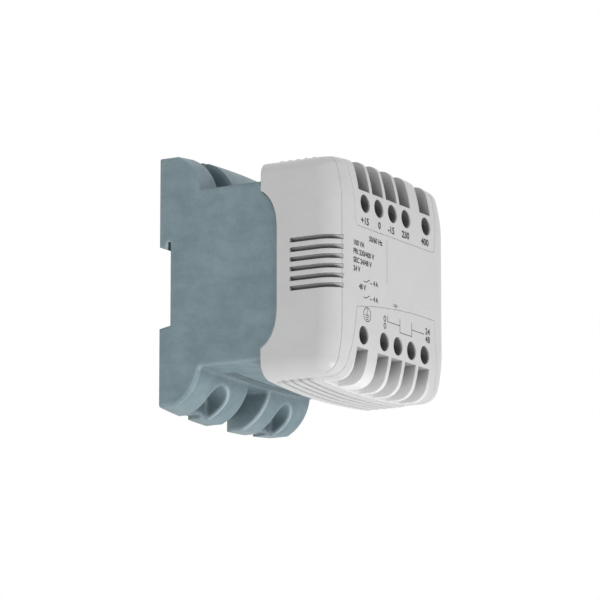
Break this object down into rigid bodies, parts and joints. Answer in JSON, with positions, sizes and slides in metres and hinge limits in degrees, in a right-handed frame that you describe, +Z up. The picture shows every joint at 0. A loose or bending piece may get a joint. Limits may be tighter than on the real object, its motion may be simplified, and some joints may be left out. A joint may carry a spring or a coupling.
{
  "type": "control transformer",
  "caption": "Rail-mounted control transformer: a blue-grey rear housing with fixing lugs and a light grey cover with wire slots and screw holes.",
  "frame": {"origin": "on the face that the rail's front meets: mid-width, at the height of the rail's centre line", "axes": "+X across the front towards the right-hand terminals, +Y back towards the wall, +Z up"},
  "size_m": [0.0932, 0.0868, 0.1103],
  "materials": {
    "housing_plastic": "blue-grey moulded plastic with a fine grain",
    "cover_plastic": "light grey moulded plastic with a fine grain",
    "clip_plastic": "darker blue-grey moulded plastic",
    "lamination_steel": "stacked and varnished sheets",
    "bobbin_plastic": "black moulded plastic",
    "winding_copper": "enamelled copper wire",
    "winding_tape": "thin tape",
    "block_plastic": "dark grey moulded plastic",
    "cage_steel": "zinc plated",
    "screw_steel": "zinc plated",
    "contact_brass": "tinned edges",
    "bolt_steel": "zinc plated"
  },
  "bodies": {
    "housing": {"base_housing": "housing_plastic", "front_cover": "cover_plastic", "core_e_stack": "lamination_steel", "core_i_stack": "lamination_steel", "bobbin": "bobbin_plastic", "primary_winding": "winding_copper", "secondary_winding": "winding_copper", "primary_tape": "winding_tape", "secondary_tape": "winding_tape", "upper_terminal_block": "block_plastic", "lower_terminal_block": "block_plastic", "core_bolt_1": "bolt_steel", "core_bolt_2": "bolt_steel", "core_bolt_3": "bolt_steel", "core_bolt_4": "bolt_steel", "terminal_cage_1": "cage_steel", "terminal_cage_2": "cage_steel", "terminal_cage_3": "cage_steel", "terminal_cage_4": "cage_steel", "terminal_cage_5": "cage_steel", "terminal_cage_6": "cage_steel", "terminal_cage_7": "cage_steel", "terminal_cage_8": "cage_steel", "terminal_cage_9": "cage_steel", "terminal_cage_10": "cage_steel", "terminal_screw_1": "screw_steel", "terminal_screw_2": "screw_steel", "terminal_screw_3": "screw_steel", "terminal_screw_4": "screw_steel", "terminal_screw_5": "screw_steel", "terminal_screw_6": "screw_steel", "terminal_screw_7": "screw_steel", "terminal_screw_8": "screw_steel", "terminal_screw_9": "screw_steel", "terminal_screw_10": "screw_steel", "contact_tab_1": "contact_brass", "contact_tab_2": "contact_brass", "contact_tab_3": "contact_brass", "contact_tab_4": "contact_brass", "contact_tab_5": "contact_brass", "contact_tab_7": "contact_brass", "contact_tab_8": "contact_brass", "contact_tab_9": "contact_brass", "contact_tab_10": "contact_brass", "earth_strap": "contact_brass"},
    "clip": {"rail_clip": "clip_plastic"}
  },
  "joints": [
    {"name": "clip_slide", "type": "slide", "parent": "housing", "child": "clip", "axis": [0, 0, 1], "range_m": [-0.0045, 0], "stiffness_N_per_m": 2000}
  ]
}
